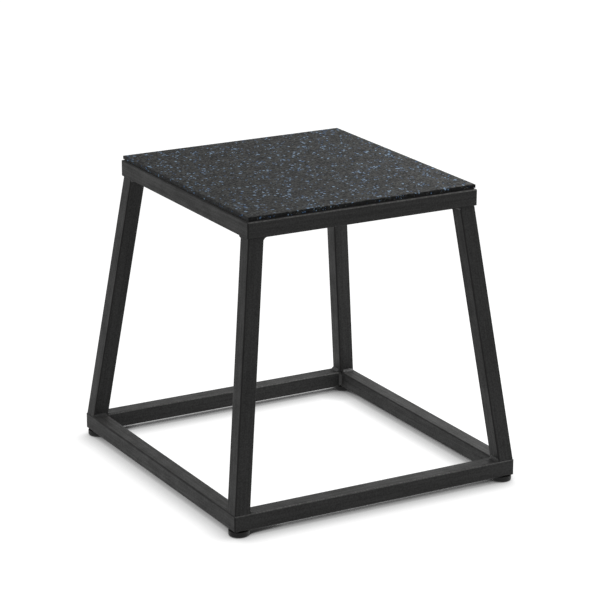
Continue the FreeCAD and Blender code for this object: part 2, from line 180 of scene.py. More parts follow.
def seen_rays(tree):
    """1 for the rays that carry a picture of the surroundings: to the camera, off gloss or through glass."""
    path = add_node(tree, "ShaderNodeLightPath")
    gloss = calculate(tree, "MAXIMUM", path.outputs["Is Glossy Ray"], path.outputs["Is Transmission Ray"])
    return calculate(tree, "MAXIMUM", path.outputs["Is Camera Ray"], gloss)


def openness(tree, reach, lean, samples):
    """How open the floor is, looking along lean: 1 with nothing within reach, 0 where all is covered."""
    direction = Vector(lean).normalized()
    towards = add_node(tree, "ShaderNodeCombineXYZ", dict(enumerate(direction))).outputs[0]
    feeds = {"Distance": reach, "Normal": towards}
    return add_node(tree, "ShaderNodeAmbientOcclusion", feeds, samples=samples).outputs["AO"]


bpy.ops.object.select_all(action="DESELECT")
bpy.ops.mesh.primitive_plane_add(size=FLOOR_SIZE, location=(0, 0, 0))
floor = bpy.context.object
floor.name = "studio_floor"
floor_paint = bpy.data.materials.new("studio_floor")
floor_paint.use_nodes = True
tree = floor_paint.node_tree
tree.nodes.clear()
seen = seen_rays(tree)
to_camera = add_node(tree, "ShaderNodeLightPath").outputs["Is Camera Ray"]
elsewhere = calculate(tree, "SUBTRACT", 1.0, to_camera)
soft = openness(tree, SHADOW_REACH, SHADOW_LEAN, SHADOW_SAMPLES)
near = openness(tree, CONTACT_REACH, CONTACT_LEAN, CONTACT_SAMPLES)
contact = spread(tree, near, *CONTACT_RANGE, CONTACT_DARKEST, 1.0)
open_share = calculate(tree, "MULTIPLY", calculate(tree, "MULTIPLY", soft, contact), SHADOW_GAIN)
shaded = calculate(tree, "MINIMUM", open_share, FLOOR_WHITE)
clear = calculate(tree, "ADD", calculate(tree, "MULTIPLY", shaded, to_camera), elsewhere)
seen_tone = blend(tree, clear, tint(0.0, 0.0, 0.0), FLOOR_SEEN)
matt = add_node(tree, "ShaderNodeBsdfDiffuse", {"Color": blend(tree, seen, FLOOR_BOUNCE, seen_tone)})
light = add_node(tree, "ShaderNodeEmission", {"Strength": calculate(tree, "MULTIPLY", seen, clear)})
both = add_node(tree, "ShaderNodeAddShader", {0: matt.outputs[0], 1: light.outputs[0]})
add_node(tree, "ShaderNodeOutputMaterial", {"Surface": both.outputs[0]})
floor.data.materials.append(floor_paint)
print("floor", FLOOR_SIZE, "m wide at z = 0")

# %% [markdown]
# ## The light
# The left faces of the box are clearly lighter than the front ones and the tops are lightest, while the
# floor shows no hard shadow. That is the light of big soft panels to the left, behind and above, with
# little from the camera's side. A world that brightens towards those directions is the softest such panel.
# Three weak lamps above and to the right add the sheen that grows across the mat.

# %% Light the studio
PANELS_TOWARDS = (-1.0, 1.0, 1.0)
PANEL_LEVELS = (0.66, 0.60, 0.16)
LAMPS = {
    "right_lamp": {"place": (1.05, -0.05, 1.1), "size": 0.5, "power": 8.7},
    "back_lamp": {"place": (1.0, 0.7, 1.1), "size": 0.5, "power": 2.1},
    "top_lamp": {"place": (1.5, -0.9, 3.0), "size": 1.0, "power": 12.6},
}
LAMP_AIM = (0.1, -0.05, 0.55)

world = bpy.data.worlds.new("soft_panels")
scene.world = world
world.use_nodes = True
tree = world.node_tree
tree.nodes.clear()
direction = add_node(tree, "ShaderNodeTexCoord").outputs["Generated"]
turned = add_node(
    tree, "ShaderNodeVectorMath", {0: direction, 1: PANELS_TOWARDS}, operation="MULTIPLY"
).outputs[0]
facing = add_node(
    tree, "ShaderNodeVectorMath", {0: turned, 1: (0.0, 0.0, 0.0)}, operation="MAXIMUM"
).outputs[0]
level = add_node(
    tree, "ShaderNodeVectorMath", {0: facing, 1: PANEL_LEVELS}, operation="DOT_PRODUCT"
).outputs["Value"]
panel = add_node(tree, "ShaderNodeCombineColor", {0: level, 1: level, 2: level}).outputs[0]
sky = blend(tree, seen_rays(tree), panel, tint(1.0, 1.0, 1.0))
background = add_node(tree, "ShaderNodeBackground", {"Color": sky, "Strength": 1.0})
add_node(tree, "ShaderNodeOutputWorld", {"Surface": background.outputs[0]})

for name, settings in LAMPS.items():
    bpy.ops.object.light_add(type="AREA", location=settings["place"])
    lamp = bpy.context.object
    lamp.name = name
    lamp.data.size = settings["size"]
    lamp.data.energy = settings["power"]
    aim = Vector(LAMP_AIM) - Vector(settings["place"])
    lamp.rotation_euler = aim.to_track_quat("-Z", "Y").to_euler()
    lamp.visible_camera = False

# %% [markdown]
# ## Shared effects
# Some things happen to more than one finish, so each is a node group that is built once and placed in
# every material that needs it, with its own numbers.
# Painted edge shade and highlight come first. The tubes have truly rounded edges. On a flat face the normal
# points along one axis, so its largest part is nearly 1, and on the rounding that part is smaller. That
# finds every edge, and the coat paints every edge darker, as painted shade. A second mask picks the edges
# that look forwards and up, and noise makes it uneven; there the coat paints a lighter, painted highlight.

# %% Group: painted edge shade and highlight
def new_group(name, inputs, outputs):
    """An empty node group with named numbers going in and named values coming out."""
    group = bpy.data.node_groups.new(name, "ShaderNodeTree")
    for label, start in inputs.items():
        socket = group.interface.new_socket(label, in_out="INPUT", socket_type="NodeSocketFloat")
        socket.default_value = start
    for label in outputs:
        group.interface.new_socket(label, in_out="OUTPUT", socket_type="NodeSocketFloat")
    given = group.nodes.new("NodeGroupInput").outputs
    result = group.nodes.new("NodeGroupOutput").inputs
    return group, given, result


def place_group(tree, group, **values):
    """Places a group in a material and sets its numbers, with _ for a space in their names."""
    node = add_node(tree, "ShaderNodeGroup", node_tree=group)
    for name, value in values.items():
        node.inputs[name.replace("_", " ")].default_value = value
    return node.outputs


def noise(tree, size, detail=2.0, roughness=0.5):
    """Soft random clouds of about this size in metres, fixed to the object."""
    spot = add_node(tree, "ShaderNodeTexCoord").outputs["Object"]
    scale = calculate(tree, "DIVIDE", 1.0, size)
    feeds = {"Vector": spot, "Scale": scale, "Detail": detail, "Roughness": roughness}
    return add_node(tree, "ShaderNodeTexNoise", feeds).outputs


EDGE_TURN = (0.012, 0.10)
# The direction and the patches of a painted highlight on the edges that look forwards and up.
HIGHLIGHT_TOWARDS = (0.0, -0.707, 0.707)
HIGHLIGHT_MATCH = (0.80, 0.90)
HIGHLIGHT_PATCHES = (0.42, 0.62, 0.45, 0.8)

painted_edges, given, result = new_group("painted_edges", {"Patch Size": 6 * MM}, ["Mask", "Highlight"])
facing = add_node(painted_edges, "ShaderNodeNewGeometry").outputs["Normal"]
amounts = add_node(painted_edges, "ShaderNodeVectorMath", {0: facing}, operation="ABSOLUTE").outputs[0]
along = add_node(painted_edges, "ShaderNodeSeparateXYZ", {0: amounts}).outputs
flattest = calculate(painted_edges, "MAXIMUM", calculate(painted_edges, "MAXIMUM", along["X"], along["Y"]), along["Z"])
# Every edge found here is painted darker in the coat, as painted shade.
edge = spread(painted_edges, calculate(painted_edges, "SUBTRACT", 1.0, flattest), *EDGE_TURN)
match = add_node(painted_edges, "ShaderNodeVectorMath", {0: facing, 1: HIGHLIGHT_TOWARDS}, operation="DOT_PRODUCT")
forward = spread(painted_edges, match.outputs["Value"], *HIGHLIGHT_MATCH)
patches = spread(painted_edges, noise(painted_edges, given["Patch Size"], detail=3.0)["Fac"], *HIGHLIGHT_PATCHES)
painted_edges.links.new(edge, result["Mask"])
painted_edges.links.new(calculate(painted_edges, "MULTIPLY", forward, patches), result["Highlight"])
print("group", painted_edges.name)

# %% [markdown]
# Pebble is the second shared effect: the fine orange-peel skin of a textured powder coat and, with other
# numbers, the crumb of pressed rubber. It puts out a height for a bump and two slow changes of tone.

# %% Group: pebble
SPECKLE_GRAINS = 5.0
FINE_RANGE = (0.3, 0.7)
SLOW_RANGE = (0.25, 0.75)

pebble, given, result = new_group(
    "pebble", {"Grain Size": 0.8 * MM, "Cloud Size": 30 * MM}, ["Height", "Speckle", "Cloud"]
)
fine = noise(pebble, given["Grain Size"], detail=3.0, roughness=0.6)["Fac"]
speckle_size = calculate(pebble, "MULTIPLY", given["Grain Size"], SPECKLE_GRAINS)
speckle = noise(pebble, speckle_size, detail=2.0)["Fac"]
cloud = noise(pebble, given["Cloud Size"], detail=4.0, roughness=0.6)["Fac"]
pebble.links.new(spread(pebble, fine, *FINE_RANGE), result["Height"])
pebble.links.new(spread(pebble, speckle, *SLOW_RANGE), result["Speckle"])
pebble.links.new(spread(pebble, cloud, *SLOW_RANGE), result["Cloud"])
print("group", pebble.name)

# %% [markdown]
# Dust is the third. It settles where a face looks up, thicker in some patches than in others, and it takes
# the depth out of black. On the mat it also stands in for the sheen of light on the top, so there it is
# partly a painted sheen. Only the upward part of the normal decides, so it stays put in every view.

# %% Group: dust and painted sheen
LYING_RANGE = (0.5, 0.95)
DRIFT_RANGE = (0.3, 0.75, 0.35, 1.0)

dust_and_sheen, given, result = new_group("dust_and_sheen", {"Amount": 0.3, "Patch Size": 45 * MM}, ["Mask"])
facing = add_node(dust_and_sheen, "ShaderNodeNewGeometry").outputs["Normal"]
upward = add_node(dust_and_sheen, "ShaderNodeSeparateXYZ", {0: facing}).outputs["Z"]
lying = spread(dust_and_sheen, upward, *LYING_RANGE)
drift = spread(dust_and_sheen, noise(dust_and_sheen, given["Patch Size"], detail=5.0, roughness=0.65)["Fac"], *DRIFT_RANGE)
film = calculate(dust_and_sheen, "MULTIPLY", lying, drift)
dust_and_sheen.links.new(calculate(dust_and_sheen, "MULTIPLY", film, given["Amount"]), result["Mask"])
print("group", dust_and_sheen.name)

# %% [markdown]
# Mill lines are the fourth. A tube is rolled and drawn through dies, which leaves faint lines along it, and
# they still show through the coat. The noise is stretched along the tube: up a leg, following its lean, or
# along a rail. Where two rails meet, the lines turn at the mitre.

# %% Group: mill lines
def choose(tree, test, if_true, if_false):
    """One of two numbers, by a test that is 1 or 0."""
    return add_node(tree, "ShaderNodeMix", {0: test, 2: if_false, 3: if_true}, data_type="FLOAT").outputs[0]


def plus_share(tree, first, share, second):
    """The first number and a share of the second."""
    return calculate(tree, "ADD", first, calculate(tree, "MULTIPLY", second, share))


LINE_WIDTH = 3.5 * MM
LINE_LENGTH = 110 * MM
leg_low, leg_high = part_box("leg_front_left")
rail_low, rail_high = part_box("base_rail_front")
tube_width = rail_high.z - rail_low.z
leg_rise = leg_high.z - leg_low.z
leg_lean_x = (leg_high.x - leg_low.x - tube_width) / leg_rise
leg_lean_y = (leg_high.y - leg_low.y - tube_width) / leg_rise
mitre_offset = -rail_low.y - rail_high.x

mill_lines, given, result = new_group("mill_lines", {"Width": LINE_WIDTH, "Length": LINE_LENGTH}, ["Mask"])
spot = add_node(mill_lines, "ShaderNodeTexCoord").outputs["Object"]
mirrored = add_node(mill_lines, "ShaderNodeVectorMath", {0: spot}, operation="ABSOLUTE").outputs[0]
x, y, z = add_node(mill_lines, "ShaderNodeSeparateXYZ", {0: mirrored}).outputs
above = calculate(mill_lines, "GREATER_THAN", z, leg_low.z)
below = calculate(mill_lines, "LESS_THAN", z, leg_high.z)
on_leg = calculate(mill_lines, "MULTIPLY", above, below)
runs_x = calculate(mill_lines, "GREATER_THAN", calculate(mill_lines, "SUBTRACT", y, x), mitre_offset)
along = choose(mill_lines, on_leg, z, choose(mill_lines, runs_x, x, y))
leg_x = plus_share(mill_lines, x, leg_lean_x, z)
leg_y = plus_share(mill_lines, y, leg_lean_y, z)
across = choose(mill_lines, on_leg, leg_x, choose(mill_lines, runs_x, y, x))
other = choose(mill_lines, on_leg, leg_y, z)
steps = [
    calculate(mill_lines, "DIVIDE", value, size)
    for value, size in ((across, given["Width"]), (other, given["Width"]), (along, given["Length"]))
]
stretched = add_node(mill_lines, "ShaderNodeCombineXYZ", dict(enumerate(steps))).outputs[0]
feeds = {"Vector": stretched, "Scale": 1.0, "Detail": 2.0}
lines = add_node(mill_lines, "ShaderNodeTexNoise", feeds).outputs["Fac"]
mill_lines.links.new(spread(mill_lines, lines, *FINE_RANGE), result["Mask"])
print("group", mill_lines.name, "legs lean", round(leg_lean_x, 3), round(leg_lean_y, 3))

# %% [markdown]
# ## Powder coat
# The frame is sprayed with dry black powder and baked, which leaves a matt, slightly pebbled skin that is
# dark grey rather than black in soft light. A plain black would look like a hole in the picture, so the
# tone moves with a fine speckle, the mill lines and slow clouds. The rounded edges are painted darker, as
# painted shade, those that look forwards and up get a painted highlight, and tops hold some dust.
# The welds get the same coat with a coarser, shinier skin, because powder gathers on a rough bead.

# %% Material: powder coat
COAT_TONE = (0.0184, 0.0184, 0.0182)
COAT_LIGHTER = 3.3
SPECKLE_SHARE = 0.55
LINE_SHARE = 0.22
LINE_GLOSS = 0.11
# Painted shade on the rounded edges.
PAINTED_EDGE_SHADE = tint(0.012, 0.012, 0.012)
# Painted highlight on the edges that look forwards and up.
PAINTED_HIGHLIGHT_TONE = tint(0.22, 0.22, 0.216)
DUST_TONE = tint(0.20, 0.195, 0.185)
COAT_CLOUD = 35 * MM
COAT_DUST_PATCH = 16 * MM
HIGHLIGHT_PATCH = 4 * MM
COAT_BUMP = 0.5


def new_material(name):
    material = bpy.data.materials.new(name)
    material.use_nodes = True
    shader = material.node_tree.nodes["Principled BSDF"]
    return material, material.node_tree, shader


def bump(tree, height, strength, distance):
    """A normal that makes a height look raised by this distance in metres."""
    feeds = {"Height": height, "Strength": strength, "Distance": distance}
    return add_node(tree, "ShaderNodeBump", feeds).outputs[0]


def powder_coat(name, grain, relief, edge_paint, roughness, dust_amount, specular):
    material, tree, shader = new_material(name)
    skin = place_group(tree, pebble, Grain_Size=grain, Cloud_Size=COAT_CLOUD)
    fine = calculate(tree, "MULTIPLY", skin["Speckle"], SPECKLE_SHARE)
    drawn = place_group(tree, mill_lines)["Mask"]
    mottle = plus_share(tree, fine, LINE_SHARE, drawn)
    mottle = plus_share(tree, mottle, 1 - SPECKLE_SHARE - LINE_SHARE, skin["Cloud"])
    dark = tint(*COAT_TONE)
    light = tint(*[COAT_LIGHTER * part for part in COAT_TONE])
    colour = blend(tree, mottle, dark, light)
    edge_masks = place_group(tree, painted_edges, Patch_Size=HIGHLIGHT_PATCH)
    edge_shade = calculate(tree, "MULTIPLY", edge_masks["Mask"], edge_paint)
    # Painted shade: every rounded edge is made darker.
    colour = blend(tree, edge_shade, colour, PAINTED_EDGE_SHADE)
    painted_highlight = calculate(tree, "MULTIPLY", edge_masks["Highlight"], edge_paint)
    # Painted highlight: the edges that look forwards and up are made lighter.
    colour = blend(tree, painted_highlight, colour, PAINTED_HIGHLIGHT_TONE)
    settled = place_group(tree, dust_and_sheen, Amount=dust_amount, Patch_Size=COAT_DUST_PATCH)["Mask"]
    colour = blend(tree, settled, colour, DUST_TONE)
    tree.links.new(colour, shader.inputs["Base Color"])
    matt = spread(tree, skin["Cloud"], 0.0, 1.0, *roughness)
    matt = plus_share(tree, matt, -LINE_GLOSS, calculate(tree, "SUBTRACT", drawn, 0.5))
    tree.links.new(matt, shader.inputs["Roughness"])
    tree.links.new(bump(tree, skin["Height"], COAT_BUMP, relief), shader.inputs["Normal"])
    shader.inputs["Specular IOR Level"].default_value = specular
    return material


frame_coat = powder_coat(
    "frame_coat",
    grain=0.6 * MM,
    relief=0.12 * MM,
    edge_paint=0.9,
    roughness=(0.52, 0.66),
    dust_amount=0.08,
    specular=0.16,
)
weld_coat = powder_coat(
    "weld_coat",
    grain=1.3 * MM,
    relief=0.22 * MM,
    edge_paint=0.0,
    roughness=(0.34, 0.48),
    dust_amount=0.05,
    specular=0.32,
)
print("materials", frame_coat.name, weld_coat.name)

# %% [markdown]
# ## Flecked crumb rubber
# The mat is pressed from shredded black rubber with a few chips of coloured rubber mixed in. The chips are
# a few millimetres wide, ragged, and bunch together. Each one is a cell of a Voronoi texture: a random
# number per cell decides whether it holds a chip, and noise pushes the cell's outline about. The texture
# is a solid one, so the chips also show on the cut sides. The group puts out where the chips are, how close
# a spot is to the core of its chip, and a random number for the hue.

# %% Group: rubber chips
CLUSTER_SIZE = 30 * MM
CHIP_SOFTNESS = 0.05
TEAR_SHARE = 0.55
BUNCH_RANGE = (0.36, 0.64, 0.1, 1.9)
CHIP_SMALLEST = 0.55
CORE_RANGE = (0.55, 1.0, 1.0, 0.0)

chips, given, result = new_group(
    "rubber_chips",
    {"Cell Size": 9 * MM, "Share": 0.2, "Reach": 0.4, "Raggedness": 0.5},
    ["Mask", "Core", "Hue"],
)
spot = add_node(chips, "ShaderNodeTexCoord").outputs["Object"]
per_cell = calculate(chips, "DIVIDE", 1.0, given["Cell Size"])
torn = noise(chips, calculate(chips, "MULTIPLY", given["Cell Size"], TEAR_SHARE), detail=2.0)["Color"]
middle = add_node(
    chips, "ShaderNodeVectorMath", {0: torn, 1: (0.5, 0.5, 0.5)}, operation="SUBTRACT"
).outputs[0]
push = calculate(chips, "MULTIPLY", given["Raggedness"], given["Cell Size"])
offset = add_node(chips, "ShaderNodeVectorMath", {0: middle, "Scale": push}, operation="SCALE").outputs[0]
torn_spot = add_node(chips, "ShaderNodeVectorMath", {0: spot, 1: offset}, operation="ADD").outputs[0]
cells = add_node(chips, "ShaderNodeTexVoronoi", {"Vector": torn_spot, "Scale": per_cell}).outputs
draw = add_node(chips, "ShaderNodeSeparateColor", {0: cells["Color"]}).outputs
bunch = spread(chips, noise(chips, CLUSTER_SIZE, detail=1.0)["Fac"], *BUNCH_RANGE)
chance = calculate(chips, "MULTIPLY", given["Share"], bunch)
chosen = calculate(chips, "LESS_THAN", draw["Red"], chance)
width_share = spread(chips, draw["Green"], 0.0, 1.0, CHIP_SMALLEST, 1.0)
radius = calculate(chips, "MULTIPLY", given["Reach"], width_share)
outside = calculate(chips, "SUBTRACT", cells["Distance"], radius)
inside = spread(chips, outside, -CHIP_SOFTNESS, CHIP_SOFTNESS, 1.0, 0.0)
chips.links.new(calculate(chips, "MULTIPLY", inside, chosen), result["Mask"])
from_middle = calculate(chips, "DIVIDE", cells["Distance"], radius)
chips.links.new(spread(chips, from_middle, *CORE_RANGE), result["Core"])
chips.links.new(draw["Blue"], result["Hue"])
print("group", chips.name)

# %% [markdown]
# Three sizes of chip are laid over the crumb, the widest first. Their colours run from a strong blue to a
# pale one, and each chip darkens towards its rim, where crumb covers it. The crumb itself is a matt charcoal
# with a film of dust, which also stands in as a painted sheen on the top and lies thicker on its high spots.
# The cut sides show paler granules and more chips, and the one that looks left is painted lighter, as
# painted light.

# %% Material: flecked rubber
CRUMB_DARK = tint(0.0076, 0.0078, 0.0079)
CRUMB_LIGHT = tint(0.0190, 0.0195, 0.0197)
# Dust and painted sheen on the top of the mat.
CRUMB_DUST_AND_SHEEN = tint(0.198, 0.206, 0.195)
CHIP_RIM = tint(0.012, 0.032, 0.080)
CHIP_DEEP = tint(0.045, 0.13, 0.31)
CHIP_PALE = tint(0.33, 0.47, 0.62)
CHIP_LAYERS = [
    {"Cell_Size": 8.6 * MM, "Share": 0.17, "Reach": 0.42, "Raggedness": 0.8},
    {"Cell_Size": 6.6 * MM, "Share": 0.17, "Reach": 0.44, "Raggedness": 0.7},
    {"Cell_Size": 4.6 * MM, "Share": 0.06, "Reach": 0.46, "Raggedness": 0.5},
]
# Painted light on the cut side that looks left.
LEFT_SIDE_PAINTED_LIGHT = tint(0.030, 0.031, 0.032)
CUT_GRANULE = tint(0.080, 0.084, 0.078)
CUT_GRANULES = {"Cell_Size": 2.8 * MM, "Share": 0.35, "Reach": 0.5, "Raggedness": 0.8}
CUT_CHIPS = {"Cell_Size": 5.0 * MM, "Share": 0.15, "Reach": 0.46, "Raggedness": 0.7}
LEFT_LIGHT_FACING = (0.5, 0.9)
SIDE_FACING = (0.3, 0.7, 1.0, 0.0)
RUBBER_SPECULAR = 0.10
MAT_GRAIN = 0.9 * MM
MAT_CLOUD = 26 * MM
# How much dust and painted sheen lightens the top of the mat.
MAT_DUST_AND_SHEEN = 0.130
MAT_DUST_AND_SHEEN_PATCH = 30 * MM
HIGH_SPOT_DUST_AND_SHEEN = (0.25, 0.75, 0.45, 1.6)
MAT_ROUGHNESS = (0.88, 0.58)
MAT_FINE_RELIEF = 0.4
MAT_RELIEF = 0.7 * MM
MAT_BUMP = 0.7

flecked_rubber, tree, shader = new_material("flecked_rubber")
crumb = place_group(tree, pebble, Grain_Size=MAT_GRAIN, Cloud_Size=MAT_CLOUD)
mottle = calculate(tree, "ADD", crumb["Speckle"], crumb["Cloud"])
mottle = calculate(tree, "MULTIPLY", mottle, 0.5)
colour = blend(tree, mottle, CRUMB_DARK, CRUMB_LIGHT)
facing = add_node(tree, "ShaderNodeNewGeometry").outputs["Normal"]
looks = add_node(tree, "ShaderNodeSeparateXYZ", {0: facing}).outputs
leftward = calculate(tree, "MULTIPLY", looks["X"], -1.0)
# Painted light: the cut side that looks left is made lighter.
colour = blend(tree, spread(tree, leftward, *LEFT_LIGHT_FACING), colour, LEFT_SIDE_PAINTED_LIGHT)
on_side = spread(tree, calculate(tree, "ABSOLUTE", looks["Z"]), *SIDE_FACING)
granule = place_group(tree, chips, **CUT_GRANULES)
colour = blend(tree, calculate(tree, "MULTIPLY", granule["Mask"], on_side), colour, CUT_GRANULE)
for layer, where in [(layer, 1.0) for layer in CHIP_LAYERS] + [(CUT_CHIPS, on_side)]:
    chip = place_group(tree, chips, **layer)
    hue = blend(tree, chip["Hue"], CHIP_DEEP, CHIP_PALE)
    chip_colour = blend(tree, chip["Core"], CHIP_RIM, hue)
    colour = blend(tree, calculate(tree, "MULTIPLY", chip["Mask"], where), colour, chip_colour)
# Dust and painted sheen: the top of the mat is made lighter, more on its high spots.
settled = place_group(tree, dust_and_sheen, Amount=MAT_DUST_AND_SHEEN, Patch_Size=MAT_DUST_AND_SHEEN_PATCH)["Mask"]
settled = calculate(tree, "MULTIPLY", settled, spread(tree, crumb["Speckle"], *HIGH_SPOT_DUST_AND_SHEEN))
colour = blend(tree, settled, colour, CRUMB_DUST_AND_SHEEN)
tree.links.new(colour, shader.inputs["Base Color"])
tree.links.new(spread(tree, crumb["Speckle"], 0.0, 1.0, *MAT_ROUGHNESS), shader.inputs["Roughness"])
relief = plus_share(tree, crumb["Speckle"], MAT_FINE_RELIEF, crumb["Height"])
tree.links.new(bump(tree, relief, MAT_BUMP, MAT_RELIEF), shader.inputs["Normal"])
shader.inputs["Specular IOR Level"].default_value = RUBBER_SPECULAR
print("material", flecked_rubber.name, "with", len(CHIP_LAYERS), "sizes of chip")

# %% [markdown]
# ## Foot rubber and zinc
# The feet are moulded from solid black rubber: smoother than the mat and a shade darker than the coat,
# with a dull shine and dusty shoulders. The screws, washers and inserts are bright zinc-plated steel, which
# is metal with a slightly cloudy, uneven shine.

# %% Materials: foot rubber and zinc
FOOT_DARK = tint(0.007, 0.007, 0.007)
FOOT_LIGHT = tint(0.013, 0.013, 0.0127)
FOOT_GRAIN = 0.7 * MM
FOOT_CLOUD = 9 * MM
FOOT_DUST = 0.05
FOOT_DUST_PATCH = 12 * MM
FOOT_ROUGHNESS = (0.45, 0.6)
FOOT_BUMP = 0.3
FOOT_RELIEF = 0.06 * MM
FOOT_SPECULAR = 0.2
ZINC_DULL = tint(0.46, 0.46, 0.45)
ZINC_BRIGHT = tint(0.68, 0.68, 0.66)
ZINC_GRAIN = 0.4 * MM
ZINC_CLOUD = 4 * MM
ZINC_ROUGHNESS = (0.42, 0.28)
ZINC_BUMP = 0.2
ZINC_RELIEF = 0.02 * MM

foot_rubber, tree, shader = new_material("foot_rubber")
skin = place_group(tree, pebble, Grain_Size=FOOT_GRAIN, Cloud_Size=FOOT_CLOUD)
colour = blend(tree, skin["Cloud"], FOOT_DARK, FOOT_LIGHT)
settled = place_group(tree, dust_and_sheen, Amount=FOOT_DUST, Patch_Size=FOOT_DUST_PATCH)["Mask"]
colour = blend(tree, settled, colour, DUST_TONE)
tree.links.new(colour, shader.inputs["Base Color"])
tree.links.new(spread(tree, skin["Cloud"], 0.0, 1.0, *FOOT_ROUGHNESS), shader.inputs["Roughness"])
tree.links.new(bump(tree, skin["Height"], FOOT_BUMP, FOOT_RELIEF), shader.inputs["Normal"])
shader.inputs["Specular IOR Level"].default_value = FOOT_SPECULAR

zinc_steel, tree, shader = new_material("zinc_steel")
plate = place_group(tree, pebble, Grain_Size=ZINC_GRAIN, Cloud_Size=ZINC_CLOUD)
colour = blend(tree, plate["Cloud"], ZINC_DULL, ZINC_BRIGHT)
tree.links.new(colour, shader.inputs["Base Color"])
tree.links.new(spread(tree, plate["Cloud"], 0.0, 1.0, *ZINC_ROUGHNESS), shader.inputs["Roughness"])
tree.links.new(bump(tree, plate["Height"], ZINC_BUMP, ZINC_RELIEF), shader.inputs["Normal"])
shader.inputs["Metallic"].default_value = 1.0
print("materials", foot_rubber.name, zinc_steel.name)

# %% [markdown]
# ## Dress the solids
# The record says which finish each solid takes, so one loop gives every node its material. The solids
# themselves stay where they are.

# %% Give every node its finish
FINISHES = {
    "frame_coat": frame_coat,
    "weld_coat": weld_coat,
    "flecked_rubber": flecked_rubber,
    "foot_rubber": foot_rubber,
    "zinc_steel": zinc_steel,
}
for subpart in frame["record"]["subparts"]:
    solid = frame["nodes"][subpart["node"]]
    solid.data.materials.clear()
    solid.data.materials.append(FINISHES[subpart["material_slot"]])

# %% [markdown]
# ## Picking faces in code
# By hand you click the faces that an operator should work on. A script picks them by where they are or
# which way they look, and these helpers do that in edit mode.

# %% Selection helpers
def start_alone(piece):
    """Leaves only this object selected, and active."""
    bpy.ops.object.select_all(action="DESELECT")
    piece.select_set(True)
    bpy.context.view_layer.objects.active = piece


def pick(kind, test):
    """In edit mode, selects only the vertices, edges or faces that pass a test."""
    bpy.ops.mesh.select_mode(type=kind)
    bpy.ops.mesh.select_all(action="DESELECT")
    mesh = bmesh.from_edit_mesh(bpy.context.edit_object.data)
    items = {"VERT": mesh.verts, "EDGE": mesh.edges, "FACE": mesh.faces}[kind]
    found = [item for item in items if test(item)]
    for item in found:
        item.select_set(True)
    mesh.select_flush_mode()
    bmesh.update_edit_mesh(bpy.context.edit_object.data)
    return len(found)


def edge_run(edge):
    """The vector along an edge."""
    return edge.verts[1].co - edge.verts[0].co


print("selection helpers ready")

# %% [markdown]
# ## The rubber mat
# The real mat is cut from a big pressed sheet with a blade, and the crumb breaks out along the cut, so its
# sides are never as straight as the steel under it. A grid of the mat's size is extruded to its thickness,
# its rims are rounded with a bevel, and a displacement then roughens the cut sides and, far less, the top.

# %% Model the mat
MAT_CELL = 4 * MM
MAT_RIM = 0.7 * MM
RIM_STEPS = 2
SIDE_CUTS = 2
CUT_ROUGHNESS = 0.7 * MM
TOP_ROUGHNESS = 0.15 * MM
CRUMB_LUMP = 3.5 * MM
MAT_SMOOTH = math.radians(40)
NEAR = 0.01 * MM

low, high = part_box("rubber_top")
size = high - low
bpy.ops.object.select_all(action="DESELECT")
bpy.ops.mesh.primitive_grid_add(
    x_subdivisions=round(size.x / MAT_CELL),
    y_subdivisions=round(size.y / MAT_CELL),
    size=1,
    location=((low.x + high.x) / 2, (low.y + high.y) / 2, high.z),
)
mat = bpy.context.object
mat.name = "crumb_rubber_mat"
mat.scale = (size.x, size.y, 1)
bpy.ops.object.transform_apply(location=True, rotation=True, scale=True)
bpy.ops.object.mode_set(mode="EDIT")
bpy.ops.mesh.select_all(action="SELECT")
bpy.ops.mesh.extrude_region_move(TRANSFORM_OT_translate={"value": (0, 0, -size.z)})
bpy.ops.mesh.select_all(action="SELECT")
bpy.ops.mesh.normals_make_consistent(inside=False)
upright = pick("EDGE", lambda edge: abs(edge_run(edge).z) > NEAR)
bpy.ops.mesh.subdivide(number_cuts=SIDE_CUTS)


def on_rim(edge):
    """True for the edges all round the top and the bottom of the cut sides."""
    flat = abs(edge_run(edge).z) < NEAR
    return flat and len({round(abs(face.normal.z)) for face in edge.link_faces}) == 2


rims = pick("EDGE", on_rim)
bpy.ops.mesh.bevel(offset=MAT_RIM, segments=RIM_STEPS, affect="EDGES")
bpy.ops.object.mode_set(mode="OBJECT")
print("mat blank:", len(mat.data.polygons), "faces,", upright, "upright edges,", rims, "rim edges")

# %% [markdown]
# The roughness comes from a displacement modifier. A vertex group says where it acts, so the sides, the
# top and the hidden underside can each have their own share.

# %% Roughen the mat
def points_where(piece, test):
    return [point.index for point in piece.data.vertices if test(point.co)]


def displace(piece, group, texture, strength):
    """Pushes the points of a vertex group in and out along their normals, and applies it."""
    modifier = piece.modifiers.new("roughen", "DISPLACE")
    modifier.texture = texture
    modifier.strength = strength
    modifier.vertex_group = group
    start_alone(piece)
    bpy.ops.object.modifier_apply(modifier=modifier.name)


def lumps(name, width):
    texture = bpy.data.textures.new(name, "CLOUDS")
    texture.noise_scale = width
    return texture


def on_cut(point):
    inset_x = min(point.x - low.x, high.x - point.x)
    inset_y = min(point.y - low.y, high.y - point.y)
    return min(inset_x, inset_y) < MAT_RIM / 2


cut = mat.vertex_groups.new(name="cut_sides")
cut.add(points_where(mat, on_cut), 1.0, "REPLACE")
top = mat.vertex_groups.new(name="top_face")
top.add(points_where(mat, lambda point: point.z > high.z - MAT_RIM / 2), 1.0, "REPLACE")
crumb_lumps = lumps("crumb_lumps", CRUMB_LUMP)
displace(mat, "cut_sides", crumb_lumps, CUT_ROUGHNESS)
displace(mat, "top_face", crumb_lumps, TOP_ROUGHNESS)
start_alone(mat)
bpy.ops.object.shade_smooth_by_angle(angle=MAT_SMOOTH)
mat.data.materials.append(flecked_rubber)
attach(mat, "root")
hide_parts("rubber_top")
print("mat:", len(mat.data.polygons), "faces")

